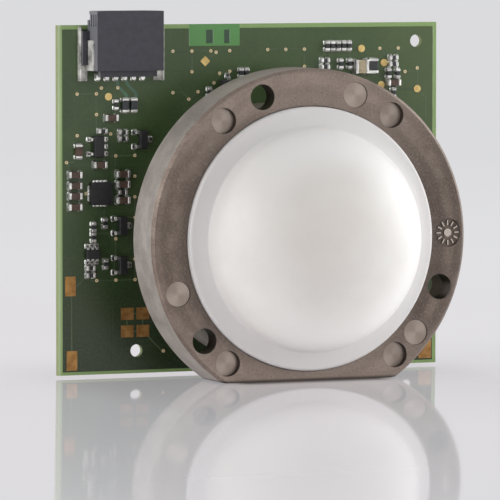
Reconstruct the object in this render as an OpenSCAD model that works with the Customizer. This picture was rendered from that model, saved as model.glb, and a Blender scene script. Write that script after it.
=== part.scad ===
// Radar module of a level transmitter: a circuit board that carries a cast antenna ring with a
// dielectric lens, an edge connector and its surface mounted electronics.
// The module stands on the flat of its antenna ring, at Z = 0, and the lens looks along -Y.
// The origin is the middle of that flat, and the lens axis runs above it.

/* [Circuit board] */
// Width of the strip of board to the left of the antenna ring
strip_left = 7.5; // [7:0.1:12]
// Width of the strip of board to the right of the antenna ring
strip_right = 2.5; // [0.5:0.1:5]
// Height of the strip of board above the antenna ring
strip_top = 5.6; // [5.2:0.1:10]
// Thickness of the board
board_t = 0.8; // [0.6:0.1:2.4]
// Gap between the lower edge of the board and the surface that the ring stands on
board_lift = 0.4; // [0.1:0.1:1.5]
// Diameter of the three fixing holes of the board
fixing_hole_d = 1.7; // [1.2:0.1:2.4]
// Thickness of the gold plated copper of the pads
pad_t = 0.06; // [0.04:0.01:0.12]

/* [Antenna ring] */
// Width of the front face, from the lens seat to the outer edge
face_w = 4.9; // [4.6:0.1:7]
// Material between the lens seat and the resting flat
flat_margin = 1.2; // [0.8:0.1:2.5]
// Depth of the outer skirt, from the front face to its rear edge
ring_depth = 6.6; // [6:0.1:11]
// Gap between the rear edge of the skirt and the board
board_gap = 8.2; // [4:0.1:11]
// Thickness of the front wall
front_wall = 3; // [2.2:0.1:4]
// Thickness of the outer skirt
skirt_wall = 1.6; // [1.2:0.1:2.2]
// Thickness of the neck that stands on the board round the radar chip
neck_wall = 2; // [1.4:0.1:2.4]
// Bevel round the front edge of the ring
ring_bevel = 0.4; // [0.1:0.1:0.8]
// Radius of the two corners beside the resting flat
flat_corner_r = 1.5; // [1:0.5:5]
// Diameter of the three through holes
ring_hole_d = 3.4; // [2.4:0.1:3.8]
// Diameter of the round moulding marks
mark_d = 3.4; // [2.4:0.1:3.8]
// Depth of the sunk moulding marks
mark_depth = 0.9; // [0.3:0.1:1.5]
// Number of ticks of the plain date wheel
wheel_ticks = 12; // [6:1:16]

/* [Lens] */
// Outer diameter of the lens
lens_d = 34.9; // [33:0.1:36]
// Clearance between the lens and its seat, on the radius
lens_clear = 0.1; // [0.05:0.05:0.3]
// Depth of the seat below the front face of the ring
seat_depth = 2; // [1:0.1:2.4]
// Width of the ledge that the lens sits on
seat_w = 2; // [1.5:0.1:3]
// Height of the lens rim in front of the ring
rim_proud = 0.8; // [0.3:0.1:2]
// Rise of the sloping rim from its edge to the dome
rim_rise = 0.5; // [0.2:0.1:1]
// Diameter of the dome at its foot
dome_d = 29.6; // [26:0.2:31]
// Height of the dome above the rim
dome_h = 10; // [6:0.5:14]
// Length of the spigot behind the ledge
spigot = 1.8; // [0.8:0.1:3]

/* [Ring screws] */
// Diameter of the screw shank
screw_d = 1.9; // [1.4:0.1:2.2]
// Length of the shank in the boss
screw_grip = 6; // [3:0.5:8]
// Diameter of the screw head
screw_head_d = 3.8; // [3:0.1:4.4]
// Height of the screw head
screw_head_h = 1.5; // [1:0.1:2.2]
// Clearance round the shank, on the radius
screw_clear = 0.08; // [0.04:0.02:0.2]

/* [Connector] */
// Number of contacts
contact_count = 6; // [4:1:6]
// Pitch of the contacts
contact_pitch = 1.27; // [1:0.01:1.27]
// Width of a contact
contact_w = 0.5; // [0.3:0.05:0.6]
// Gap between the outer contacts and the sides of the cavity
contact_room = 0.075; // [0.05:0.005:0.4]
// Height of the housing, along the board
plug_h = 7.9; // [7:0.1:10]
// Depth of the housing, out from the board
plug_depth = 4; // [3.8:0.1:7]
// Height of the housing above the top edge of the board
plug_over = 1.9; // [0.5:0.1:3]
// Distance from the left edge of the board to the middle of the housing
plug_from_left = 8.8; // [8.5:0.1:12]
// Wall thickness of the housing
plug_wall = 0.6; // [0.5:0.1:0.8]

/* [Small parts] */
// Length of the larger chip capacitors
big_chip_l = 1.9; // [1.6:0.1:2.2]
// Width of the larger chip capacitors
big_chip_w = 0.95; // [0.8:0.05:1.2]
// Length of the small chip parts
small_chip_l = 1.3; // [1:0.1:1.6]
// Width of the small chip parts
small_chip_w = 0.65; // [0.4:0.05:0.8]
// Side of the square controller package
controller_side = 3; // [2.4:0.1:3.2]
// Side of the square radar chip
radar_side = 6; // [4:0.5:8]
// Side of the square processor on the rear face
processor_side = 7; // [5:0.5:8]

/* [Hidden] */
$fn = 48;
round_fn = 128;

// Overshoot of a cut through a face, and room beyond the tip of a screw
cut = 1;
tip_gap = 0.5;

// Stations along the lens axis, measured forwards from the front face of the board
ring_back = board_gap;
ring_front = board_gap + ring_depth;
wall_back = ring_front - front_wall;
seat = ring_front - seat_depth;
lens_back = seat - spigot;
wall_middle = (wall_back + seat) / 2;
lens_rim = ring_front + rim_proud;
dome_foot = lens_rim + rim_rise;
board_y = ring_back + ring_depth / 2;

// Radii about the lens axis
lens_r = lens_d / 2;
seat_r = lens_r + lens_clear;
ring_r = seat_r + face_w;
throat_r = lens_r - seat_w;
neck_r = throat_r + neck_wall;
skirt_r = ring_r - skirt_wall;
mark_circle_r = (ring_r + lens_r) / 2;
boss_wall = 0.9;
boss_inset = 0.1;
boss_r = screw_d / 2 + boss_wall;
boss_circle_r = throat_r + boss_inset + boss_r;
hole_relief = 0.2;
boss_hole_r = screw_d / 2 + screw_clear;

// Height of the lens axis above the resting flat, and the edges of the board about the ring
axis_z = seat_r + flat_margin;
board_left = -ring_r - strip_left;
board_right = ring_r + strip_right;
board_bottom = board_lift;
board_top = axis_z + ring_r + strip_top;
board_w = board_right - board_left;
board_h = board_top - board_bottom;

// Directions of the ring's features, anticlockwise from +X as seen from the front
ring_holes = [110, 221, 340];
sunk_marks = [128, 54, 234, 308];
flush_marks = [71, 200, 320];
wheel_angle = 1;
wheel_d = mark_d + 0.4;
flush_depth = 0.15;
screw_angles = [40, 165, 305];

// Steps that all places on the board are counted in, across and up
step = [1.01, 0.97];

// Fixing holes of the board
fixing_holes = [
    [board_left + 11 * step[0], board_bottom + 3.1 * step[1]],
    [board_right - 4.2 * step[0], board_bottom + 3.1 * step[1]],
    [board_right - 3 * step[0], board_top - 2.6 * step[1]]
];

// Places of the electronics: steps from the left edge and from the top edge, and the turn
capacitors = [
    [2.8, 17.2, 90], [2.3, 20.4, 0], [2.3, 21.9, 0], [2.3, 23.3, 0], [2.3, 24.8, 0],
    [9, 20.4, 0], [9, 21.8, 0], [9, 24, 0], [5.8, 19.1, 0], [7.4, 12.7, 0]
];
filters = [[9.3, 11, 90], [10.5, 11, 90]];
resistors = [
    [8.1, 10.9, 90], [9, 22.9, 0], [9.1, 14.7, 0], [9.1, 15.6, 0],
    [4.9, 27.6, 90], [6.5, 27.1, 90], [4.9, 29, 90], [6.6, 32.7, 90],
    [4.5, 33.2, 0], [4.5, 34.2, 0], [6.2, 14.5, 0]
];
transistors = [[11.8, 15.7], [8.9, 27.5], [8.9, 32.9]];
regulator = [5.5, 16.6];
buffer = [4.7, 31.3];
controller = [5.9, 23];

// Places near the right edge: steps from the right edge and from the top edge
right_resistors = [
    [16.1, 3.2, 90], [15.3, 3.2, 90], [14.5, 3.2, 90], [13.7, 3.2, 90], [12.9, 3.2, 90],
    [16.4, 5.2, 0], [16.4, 6.1, 0], [14.1, 5.7, 90], [12.8, 5.7, 90],
    [6.4, 4.9, 0], [6.4, 5.8, 0], [7.1, 7.1, 90], [5.8, 7.1, 90], [6.4, 9.8, 90]
];
right_capacitors = [[6.4, 8.4, 0]];
large_capacitor = [11.3, 6.1];
inductor = [9.6, 6];
// Places above the antenna ring: steps from the lens axis and from the top edge
ring_top_resistors = [[-3.8, 6.8, 90], [-3, 6.8, 90], [-8.3, 9.4, 90]];
ring_top_transistor = [-5.7, 8.3];
ring_top_vias = [[-9.9, 9.3], [-11.2, 10.3], [-7.6, 8.1], [-6.8, 6.8], [-7.3, 3.9]];

// Vias: column and row of their grid, counted from the top left of the board
via_start = [2.7, 3.7];
via_pitch = [2.7, 2.84];
via_grid = [
    [0, 2], [1, 2], [1, 3], [0, 4], [2, 5], [3, 5], [3, 6], [3, 7], [3, 8], [2, 9],
    [3, 10], [3, 11], [2, 11], [1, 11], [5, 0], [6, 0], [6, 1], [7, 0], [8, 0], [8, 1],
    [5, 2]
];
// Vias off the grid, from the left edge and from the right edge
left_vias = [[6.1, 8.6], [8.4, 8.6], [7.4, 14.9], [3.9, 23], [1.2, 18.7], [14.8, 44.9]];
right_vias = [
    [24.6, 3.6], [22, 3.6], [19.3, 3.6], [8.3, 3.6], [5.6, 3.6], [2.8, 6.4], [19.3, 6],
    [4.6, 6.9]
];

// Test points, from the left edge and from the right edge, and one square test land
left_tests = [[7.1, 9.8]];
square_test = [20.8, 5.1];
right_tests = [[11, 3.6], [7.7, 5.6], [8.1, 8.7], [2.8, 9.3]];

// Sizes shared by the electronics
chip_h = 0.8;
chip_end = 0.4;
lead_t = 0.2;
package_lift = 0.1;
via_d = 0.45;
via_hole_d = 0.15;
test_d = 1;
part_gap = 0.05;

// ---- Placement ----

// Children drawn about the lens axis: x to the right, y up, z forwards from the board
module on_axis() {
    translate([0, board_y, axis_z])
        rotate([90, 0, 0])
            children();
}

// Children drawn on the front face of the board at a place of the module's own frame
module on_board(x, z, turn = 0) {
    translate([x, board_y, z])
        rotate([90, 0, 0])
            rotate([0, 0, turn])
                children();
}

// Children drawn on the rear face of the board
module on_rear(x, z, turn = 0) {
    translate([x, board_y + board_t, z])
        rotate([-90, 0, 0])
            rotate([0, 0, turn])
                children();
}

// Children on the front face, placed from the left and top edges
module from_left(p, turn = 0) {
    on_board(board_left + p[0] * step[0], board_top - p[1] * step[1], turn)
        children();
}

// Children on the front face, placed from the right and top edges
module from_right(p, turn = 0) {
    on_board(board_right - p[0] * step[0], board_top - p[1] * step[1], turn)
        children();
}

// Children on the front face, placed from the lens axis and the top edge
module from_axis(p, turn = 0) {
    on_board(p[0] * step[0], board_top - p[1] * step[1], turn)
        children();
}

// Children on the front face, placed from the left and lower edges
module from_corner(p, turn = 0) {
    on_board(board_left + p[0] * step[0], board_bottom + p[1] * step[1], turn)
        children();
}

// Children at one direction and radius about the lens axis
module around(angle, radius) {
    on_axis()
        rotate([0, 0, angle])
            translate([radius, 0, 0])
                children();
}

// ---- Shapes shared by the electronics ----

// A plate or block with its middle over the origin, standing at a given height
module block(l, w, h, base = 0) {
    translate([-l / 2, -w / 2, base])
        cube([l, w, h]);
}

// Ceramic of a chip part, between its two ends
module chip_core(l, w, h) {
    block(l - 2 * chip_end, w - 2 * part_gap, h - 2 * part_gap, part_gap);
}

// The two metal ends of a chip part
module chip_caps(l, w, h) {
    for (side = [-1, 1])
        translate([side * (l - chip_end) / 2, 0, 0])
            block(chip_end, w, h);
}

// Moulded package with sloping sides
module package(l, w, h) {
    slope = h * 0.12;
    hull() {
        block(l, w, h * 0.05, package_lift + h / 2);
        block(l - 2 * slope, w - 2 * slope, h, package_lift);
    }
}

// One bent lead: a shoulder out of the package, a leg down to the board and a foot
module gull_lead(reach, width, shoulder) {
    translate([0, -width / 2, 0])
        rotate([90, 0, 0])
            mirror([0, 0, 1])
                linear_extrude(width)
                    polygon([
                        [0, shoulder], [reach * 0.45, shoulder], [reach * 0.6, lead_t],
                        [reach, lead_t], [reach, 0], [reach * 0.4, 0],
                        [reach * 0.3, shoulder - lead_t], [0, shoulder - lead_t]
                    ]);
}

// A row of bent leads on one side of a package, starting at its flank
module lead_row(count, pitch, flank, reach, width, shoulder) {
    for (i = [0 : count - 1])
        translate([flank, (i - (count - 1) / 2) * pitch, 0])
            gull_lead(reach, width, shoulder);
}

// ---- Circuit board ----

module circuit_board() {
    color("darkgreen")
        difference() {
            translate([board_left, board_y, board_bottom])
                cube([board_w, board_t, board_h]);
            for (p = fixing_holes)
                on_board(p[0], p[1])
                    translate([0, 0, -board_t - cut])
                        cylinder(d = fixing_hole_d, h = board_t + 2 * cut);
            for (angle = screw_angles)
                around(angle, boss_circle_r)
                    translate([0, 0, -board_t - cut])
                        cylinder(r = boss_hole_r + screw_clear, h = board_t + 2 * cut);
        }
}

// Large solder lands: two on the left edge, four in a square and one in the right corner
module gold_pads() {
    edge_w = 1.5;
    edge_h = 2.6;
    square_w = 1.8;
    square_h = 1.6;
    corner_w = 1.9;
    color("goldenrod") {
        from_corner([1.7, 12.2])
            block(edge_w, edge_h, pad_t);
        from_corner([1.9, 2])
            block(edge_w, edge_h, pad_t);
        on_board(board_right - 1.6 * step[0], board_bottom + 2 * step[1])
            block(corner_w, edge_h, pad_t);
        for (x = [9.7, 11.9])
            for (z = [5.8, 8.2])
                from_corner([x, z])
                    block(square_w, square_h, pad_t);
    }
}

module test_points() {
    color("gold") {
        for (p = left_tests)
            from_left(p)
                cylinder(d = test_d, h = pad_t);
        from_left(square_test, 45)
            block(test_d, test_d, pad_t);
        for (p = right_tests)
            from_right(p)
                cylinder(d = test_d, h = pad_t);
    }
}

module via_ring() {
    difference() {
        cylinder(d = via_d, h = pad_t, $fn = 24);
        translate([0, 0, -cut])
            cylinder(d = via_hole_d, h = pad_t + 2 * cut, $fn = 16);
    }
}

module via_rings() {
    color("khaki") {
        for (p = via_grid)
            from_left([via_start[0] + p[0] * via_pitch[0], via_start[1] + p[1] * via_pitch[1]])
                via_ring();
        for (p = left_vias)
            from_left(p)
                via_ring();
        for (p = right_vias)
            from_right(p)
                via_ring();
        for (p = ring_top_vias)
            from_axis(p)
                via_ring();
    }
}

// ---- Antenna ring and lens ----

// Half section of the ring: front wall with the lens seat, outer skirt and the neck
module ring_section() {
    polygon([
        [throat_r, 0], [neck_r, 0], [neck_r, wall_back], [skirt_r, wall_back],
        [skirt_r, ring_back], [ring_r, ring_back], [ring_r, ring_front - ring_bevel],
        [ring_r - ring_bevel, ring_front], [seat_r, ring_front], [seat_r, seat],
        [throat_r, seat]
    ]);
}

// Flat wall that closes the pocket above the resting flat
module flat_wall() {
    intersection() {
        translate([0, 0, ring_back])
            cylinder(r = ring_r - skirt_wall / 2, h = wall_middle - ring_back, $fn = round_fn);
        translate([-ring_r, -axis_z, ring_back])
            cube([2 * ring_r, skirt_wall, ring_depth]);
    }
}

// Material outside the rounded corner between the flat and the outer diameter
module corner_waste() {
    far_x = sqrt(pow(ring_r - flat_corner_r, 2) - pow(axis_z - flat_corner_r, 2));
    far_y = flat_corner_r - axis_z;
    low = -axis_z - cut;
    translate([0, 0, ring_back - cut])
        linear_extrude(ring_depth + 2 * cut)
            difference() {
                polygon([[far_x, far_y], [far_x, low], [far_x * low / far_y, low]]);
                translate([far_x, far_y])
                    circle(r = flat_corner_r, $fn = 96);
            }
}

// Shallow turned mark: a pin face that lies just under the cast surface
module round_mark(depth) {
    translate([0, 0, ring_front - depth])
        cylinder(d = mark_d, h = depth + cut);
}

// Recess of the date wheel, leaving its ticks and its hub standing
module date_wheel_cut() {
    depth = 0.3;
    difference() {
        translate([0, 0, ring_front - depth])
            cylinder(d = wheel_d, h = depth + cut);
        translate([0, 0, ring_front - 2 * depth])
            cylinder(d = wheel_d * 0.28, h = 1.8 * depth);
        for (i = [0 : wheel_ticks - 1])
            rotate([0, 0, i * 360 / wheel_ticks])
                translate([wheel_d * 0.26, -0.09, ring_front - 2 * depth])
                    cube([wheel_d * 0.17, 0.18, 1.8 * depth]);
    }
}

// Boss behind the front wall that takes a screw from the board
module screw_boss(angle) {
    around(angle, boss_circle_r)
        cylinder(r = boss_r, h = wall_middle);
}

module antenna_ring() {
    color("dimgray")
        difference() {
            union() {
                on_axis()
                    rotate_extrude($fn = round_fn)
                        ring_section();
                on_axis()
                    flat_wall();
                for (angle = screw_angles)
                    screw_boss(angle);
            }
            translate([-2 * ring_r, -2 * ring_r, -4 * ring_r])
                cube(4 * ring_r);
            on_axis() {
                corner_waste();
                mirror([1, 0, 0])
                    corner_waste();
            }
            for (angle = ring_holes)
                around(angle, mark_circle_r) {
                    translate([0, 0, wall_back - cut])
                        cylinder(d = ring_hole_d, h = front_wall + 2 * cut);
                    translate([0, 0, ring_back - cut])
                        cylinder(
                            r = ring_hole_d / 2 + hole_relief,
                            h = wall_back + hole_relief - ring_back + cut
                        );
                }
            for (angle = sunk_marks)
                around(angle, mark_circle_r)
                    round_mark(mark_depth);
            for (angle = flush_marks)
                around(angle, mark_circle_r)
                    round_mark(flush_depth);
            around(wheel_angle, mark_circle_r)
                date_wheel_cut();
            for (angle = screw_angles)
                around(angle, boss_circle_r)
                    translate([0, 0, -cut])
                        cylinder(r = boss_hole_r, h = screw_grip + cut + tip_gap);
        }
}

// Half section of the lens: spigot, rim that slopes up to the foot of the dome, and the dome
module lens_section() {
    edge = 0.4;
    dome_r = dome_d / 2;
    spigot_r = throat_r - lens_clear;
    dome = [for (a = [0 : 5 : 90]) [dome_r * cos(a), dome_foot + dome_h * sin(a)]];
    polygon(concat(
        [
            [0, lens_back], [spigot_r, lens_back], [spigot_r, seat], [lens_r, seat],
            [lens_r, lens_rim - edge], [lens_r - edge * 0.3, lens_rim - edge * 0.3],
            [lens_r - edge, lens_rim]
        ],
        dome
    ));
}

module lens() {
    color("white")
        on_axis()
            rotate_extrude($fn = round_fn)
                lens_section();
}

// Pan head screw from the rear of the board into a boss
module ring_screw() {
    socket_d = screw_head_d * 0.45;
    translate([0, 0, -board_t])
        cylinder(d = screw_d, h = board_t + screw_grip);
    translate([0, 0, -board_t - screw_head_h])
        difference() {
            union() {
                cylinder(d1 = screw_head_d * 0.8, d2 = screw_head_d, h = screw_head_h * 0.35);
                translate([0, 0, screw_head_h * 0.35])
                    cylinder(d = screw_head_d, h = screw_head_h * 0.65);
            }
            translate([0, 0, -cut])
                cylinder(d = socket_d, h = cut + screw_head_h * 0.6, $fn = 6);
        }
}

module ring_screws() {
    color("silver")
        for (angle = screw_angles)
            around(angle, boss_circle_r)
                ring_screw();
}

// Microwave absorber on the board inside the neck, with a window for the radar chip
module absorber_pad() {
    absorber_h = 1.5;
    throat_gap = 0.5;
    window = radar_side + 3;
    color("black")
        on_axis()
            difference() {
                cylinder(r = throat_r - throat_gap, h = absorber_h);
                block(window, window, absorber_h + 2 * cut, -cut);
            }
}

module radar_chip_body() {
    color("black")
        on_axis()
            block(radar_side, radar_side, chip_h, package_lift);
}

// Flat lands under the four sides of a leadless package
module land_frame(side, count, pitch) {
    land = 0.35;
    for (quarter = [0 : 3])
        rotate([0, 0, quarter * 90])
            for (i = [0 : count - 1])
                translate([side / 2 - land / 2 + 0.1, (i - (count - 1) / 2) * pitch, 0])
                    block(land, pitch * 0.5, package_lift);
}

module radar_chip_leads() {
    color("silver")
        on_axis()
            land_frame(radar_side, 8, 0.6);
}

// ---- Connector ----

// Children in the connector's own frame: x across, y up from its lower face, z off the board
module on_connector() {
    on_board(board_left + plug_from_left, board_top + plug_over - plug_h)
        children();
}

plug_lift = 0.3;
floor_t = 2;
contact_h = 0.5;
cavity_w = (contact_count - 1) * contact_pitch + contact_w + 2 * contact_room;
plug_w = cavity_w + 4 * plug_wall;
cavity_d = plug_depth - plug_lift - 2 * plug_wall;
contact_z = plug_lift + plug_wall + cavity_d / 2;

function contact_x(i) = (i - (contact_count - 1) / 2) * contact_pitch;

// Clips beside the housing, measured from its flanks and its lower face
clip_t = 0.25;
clip_w = 1.3;
clip_tail = 1.4;
clip_foot = 2.1;
strip_h = 0.9;
plate_l = plug_h * 0.51;
strip_l = plug_h * 0.74;
wing_gap = 0.05;

// Flat wing of the housing: it hooks round the upright plate of a clip
module wing() {
    inner = plug_w / 2 + clip_t + wing_gap;
    outer = plug_w / 2 + clip_w - clip_t - wing_gap;
    low = clip_foot - clip_tail + wing_gap;
    high = plate_l + 2 * wing_gap;
    translate([0, 0, plug_lift])
        linear_extrude(strip_h)
            polygon([
                [inner, low], [outer, low], [outer, strip_l - plug_wall],
                [plug_w / 2 - plug_wall / 2, strip_l - plug_wall],
                [plug_w / 2 - plug_wall / 2, high], [inner, high]
            ]);
}

// Apron under the lower face, in front of the legs of the contacts
module apron() {
    apron_w = (contact_count - 1) * contact_pitch + contact_w + 2 * plug_wall;
    apron_l = 0.8;
    apron_t = 0.8;
    translate([-apron_w / 2, -apron_l, contact_z + contact_h / 2 + 2 * part_gap])
        cube([apron_w, apron_l + plug_wall / 2, apron_t]);
}

module connector_housing() {
    rib_w = 0.8;
    groove_t = plug_wall / 4;
    color("darkslategray")
        on_connector() {
            apron();
            for (side = [0, 1])
                mirror([side, 0, 0])
                    wing();
            difference() {
                translate([-plug_w / 2, 0, plug_lift])
                    cube([plug_w, plug_h, plug_depth - plug_lift]);
                translate([-cavity_w / 2, floor_t, plug_lift + plug_wall])
                    cube([cavity_w, plug_h, cavity_d]);
                for (side = [-1, 1])
                    translate([
                        side * cavity_w * 0.3 - rib_w / 2, floor_t + 1.5,
                        plug_depth - plug_wall - cut
                    ])
                        cube([rib_w, plug_h, cut + plug_wall / 2]);
                for (i = [0 : contact_count - 1])
                    translate([contact_x(i) - contact_w / 2 - part_gap, -cut, 0])
                        cube([
                            contact_w + 2 * part_gap, floor_t + 2 * cut,
                            contact_z + contact_h / 2 + part_gap
                        ]);
                for (side = [-1, 1])
                    translate([
                        side * (plug_w / 2 - plug_wall / 4) - plug_wall / 2,
                        plug_h - 2 * plug_wall, -cut
                    ])
                        cube([plug_wall, plug_h, plug_depth * 0.5]);
                for (i = [0 : 3])
                    for (side = [-1, 1])
                        translate([
                            side * plug_w / 2 - groove_t, strip_l,
                            plug_lift + plug_wall + i * plug_depth * 0.2
                        ])
                            cube([2 * groove_t, plug_h * 0.2, plug_wall / 2]);
            }
        }
}

// One contact: pin in the cavity, leg down behind the housing and foot on the board
module contact() {
    foot = 1.3;
    leg_out = 0.6;
    leg_in = 0.3;
    pin_low = contact_z - contact_h / 2;
    pin_high = contact_z + contact_h / 2;
    pin_end = plug_h - 2;
    translate([contact_w / 2, 0, 0])
        rotate([0, -90, 0])
            linear_extrude(contact_w)
                polygon([
                    [0, -foot], [lead_t, -foot], [lead_t, -leg_out], [pin_high, -leg_out],
                    [pin_high, pin_end], [pin_low, pin_end], [pin_low, -leg_in], [0, -leg_in]
                ]);
}

module connector_contacts() {
    color("gainsboro")
        on_connector()
            for (i = [0 : contact_count - 1])
                translate([contact_x(i), 0, 0])
                    contact();
}

// Metal clip beside the housing: a soldered foot, an upright plate and an outer strip
module clip() {
    translate([plug_w / 2, -clip_tail, 0])
        cube([clip_w, clip_foot, clip_t]);
    translate([plug_w / 2, 0, 0])
        cube([clip_t, plate_l, plug_depth * 0.75]);
    translate([plug_w / 2 + clip_w - clip_t, -clip_tail, 0])
        cube([clip_t, strip_l + clip_tail, strip_h]);
}

module connector_clips() {
    color("silver")
        on_connector() {
            clip();
            mirror([1, 0, 0])
                clip();
        }
}

// ---- Integrated circuits and transistors ----

module controller_body() {
    color("black")
        from_left(controller)
            block(controller_side, controller_side, 0.75, package_lift);
}

module controller_leads() {
    color("silver")
        from_left(controller)
            land_frame(controller_side, 4, 0.5);
}

regulator_size = [1.5, 2.9, 1];
transistor_size = [1.2, 2.5, 0.9];
buffer_size = [2, 1.2, 0.8];

module regulator_body() {
    color("black")
        from_left(regulator)
            package(regulator_size[0], regulator_size[1], regulator_size[2]);
}

module regulator_leads() {
    color("silver")
        from_left(regulator) {
            lead_row(3, 0.95, regulator_size[0] / 2, 0.65, 0.4, 0.6);
            rotate([0, 0, 180])
                lead_row(2, 1.9, regulator_size[0] / 2, 0.65, 0.4, 0.6);
        }
}

// Children at each three lead transistor
module each_transistor() {
    for (p = transistors)
        from_left(p)
            children();
    from_axis(ring_top_transistor, 90)
        children();
}

module transistor_bodies() {
    color("black")
        each_transistor()
            package(transistor_size[0], transistor_size[1], transistor_size[2]);
}

module transistor_leads() {
    color("silver")
        each_transistor() {
            lead_row(1, 1, transistor_size[0] / 2, 0.75, 0.45, 0.55);
            rotate([0, 0, 180])
                lead_row(2, 1.9, transistor_size[0] / 2, 0.75, 0.45, 0.55);
        }
}

module buffer_body() {
    color("black")
        from_left(buffer, 90)
            package(buffer_size[1], buffer_size[0], buffer_size[2]);
}

module buffer_leads() {
    color("silver")
        from_left(buffer, 90)
            for (half_turn = [0, 180])
                rotate([0, 0, half_turn])
                    lead_row(3, 0.65, buffer_size[1] / 2, 0.65, 0.35, 0.5);
}

// ---- Chip parts ----

module each_capacitor() {
    for (p = capacitors)
        from_left(p, p[2])
            children();
    for (p = right_capacitors)
        from_right(p, p[2])
            children();
}

module capacitor_bodies() {
    color("sienna")
        each_capacitor()
            chip_core(big_chip_l, big_chip_w, chip_h);
}

module capacitor_ends() {
    color("gainsboro")
        each_capacitor()
            chip_caps(big_chip_l, big_chip_w, chip_h);
}

module each_filter() {
    for (p = filters)
        from_left(p, p[2])
            children();
}

module filter_bodies() {
    color("slategray")
        each_filter()
            chip_core(big_chip_l, big_chip_w, chip_h);
}

module filter_ends() {
    color("gainsboro")
        each_filter()
            chip_caps(big_chip_l, big_chip_w, chip_h);
}

module each_resistor() {
    for (p = resistors)
        from_left(p, p[2])
            children();
    for (p = right_resistors)
        from_right(p, p[2])
            children();
    for (p = ring_top_resistors)
        from_axis(p, p[2])
            children();
    for (p = rear_resistors)
        on_rear(p[0], p[1], p[2])
            children();
}

resistor_h = 0.55;

module resistor_bodies() {
    color("darkslategray")
        each_resistor()
            chip_core(small_chip_l, small_chip_w, resistor_h);
}

module resistor_ends() {
    color("gainsboro")
        each_resistor()
            chip_caps(small_chip_l, small_chip_w, resistor_h);
}

large_size = [1.9, 1.9, 1.2];
inductor_size = [2, 1.4, 1];

module large_capacitor_body() {
    color("wheat")
        from_right(large_capacitor)
            chip_core(large_size[0], large_size[1], large_size[2]);
}

module large_capacitor_ends() {
    color("gainsboro")
        from_right(large_capacitor)
            chip_caps(large_size[0], large_size[1], large_size[2]);
}

module inductor_body() {
    color("black")
        from_right(inductor, 90)
            chip_core(inductor_size[0], inductor_size[1], inductor_size[2]);
}

module inductor_ends() {
    color("gainsboro")
        from_right(inductor, 90)
            chip_caps(inductor_size[0], inductor_size[1], inductor_size[2]);
}

// ---- Rear face ----

// The processor sits behind the small electronics, with the clock crystal under it
processor_at = [board_left + 7.4 * step[0], board_top - 15.2 * step[1]];
processor_h = 1.3;
crystal_at = processor_at - [4 * step[0], processor_side / 2 + 4.5 * step[1]];
rear_resistors = [
    for (side = [-1, 1])
        for (i = [0 : 2])
            [
                processor_at[0] + side * (processor_side / 2 + 2.4 * step[0]),
                processor_at[1] + 2 * i * step[1], 90
            ]
];

module processor_body() {
    color("black")
        on_rear(processor_at[0], processor_at[1])
            package(processor_side, processor_side, processor_h);
}

module processor_leads() {
    count = 11;
    color("silver")
        on_rear(processor_at[0], processor_at[1])
            for (quarter = [0 : 3])
                rotate([0, 0, quarter * 90])
                    lead_row(count, 0.5, processor_side / 2, 0.95, 0.22, 0.75);
}

crystal_size = [3.2, 2.5];

module crystal_base() {
    color("wheat")
        on_rear(crystal_at[0], crystal_at[1])
            block(crystal_size[0], crystal_size[1], 0.35);
}

module crystal_can() {
    color("silver")
        on_rear(crystal_at[0], crystal_at[1])
            block(crystal_size[0] - 0.3, crystal_size[1] - 0.3, 0.4, 0.35);
}

circuit_board();
gold_pads();
test_points();
via_rings();
antenna_ring();
lens();
ring_screws();
absorber_pad();
radar_chip_body();
radar_chip_leads();
connector_housing();
connector_contacts();
connector_clips();
controller_body();
controller_leads();
regulator_body();
regulator_leads();
transistor_bodies();
transistor_leads();
buffer_body();
buffer_leads();
capacitor_bodies();
capacitor_ends();
filter_bodies();
filter_ends();
resistor_bodies();
resistor_ends();
large_capacitor_body();
large_capacitor_ends();
inductor_body();
inductor_ends();
processor_body();
processor_leads();
crystal_can();
crystal_base();
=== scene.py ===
"""Finishes, solder, copper and studio of the sensor module of a radar level transmitter."""

import logging
import math
import random
from collections.abc import Sequence
from dataclasses import dataclass, field
from enum import Enum

import bmesh
import bpy
from mathutils import Matrix, Vector


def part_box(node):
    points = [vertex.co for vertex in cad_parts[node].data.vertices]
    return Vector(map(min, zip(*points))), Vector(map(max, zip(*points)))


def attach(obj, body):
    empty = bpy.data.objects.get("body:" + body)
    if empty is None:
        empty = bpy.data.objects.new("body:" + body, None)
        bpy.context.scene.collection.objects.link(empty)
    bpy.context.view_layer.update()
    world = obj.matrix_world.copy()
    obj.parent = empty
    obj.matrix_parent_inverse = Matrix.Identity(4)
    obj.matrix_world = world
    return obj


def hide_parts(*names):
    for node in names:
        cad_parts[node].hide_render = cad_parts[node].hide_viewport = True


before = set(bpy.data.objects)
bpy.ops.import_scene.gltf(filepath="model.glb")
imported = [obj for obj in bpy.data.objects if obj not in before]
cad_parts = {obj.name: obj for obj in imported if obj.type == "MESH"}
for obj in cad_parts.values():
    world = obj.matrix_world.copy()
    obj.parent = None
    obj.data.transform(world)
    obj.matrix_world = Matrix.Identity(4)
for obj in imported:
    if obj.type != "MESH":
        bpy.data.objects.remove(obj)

LOG = logging.getLogger("radar_module")
MM = 0.001
PER_METRE = 1000
MERGE = 1e-7
SOFT_ANGLE = 60.0
Colour = tuple[float, float, float, float]
Point = tuple[float, float, float]
Place = tuple[float, float]
ROOT = "root"


@dataclass(frozen=True)
class Extent:
    """Box of a CAD node in millimetres."""

    left: float
    right: float
    front: float
    back: float
    bottom: float
    top: float

    @classmethod
    def of(cls, node: str) -> "Extent":
        """Measure a CAD node.

        Args:
            node: Name of the node.

        Returns:
            Its box.
        """
        low, high = (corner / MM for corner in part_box(node))
        return cls(low.x, high.x, low.y, high.y, low.z, high.z)

    @property
    def radius(self) -> float:
        """Half of the width."""
        return (self.right - self.left) / 2

    @property
    def axis_z(self) -> float:
        """Height of the middle."""
        return (self.bottom + self.top) / 2


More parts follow.
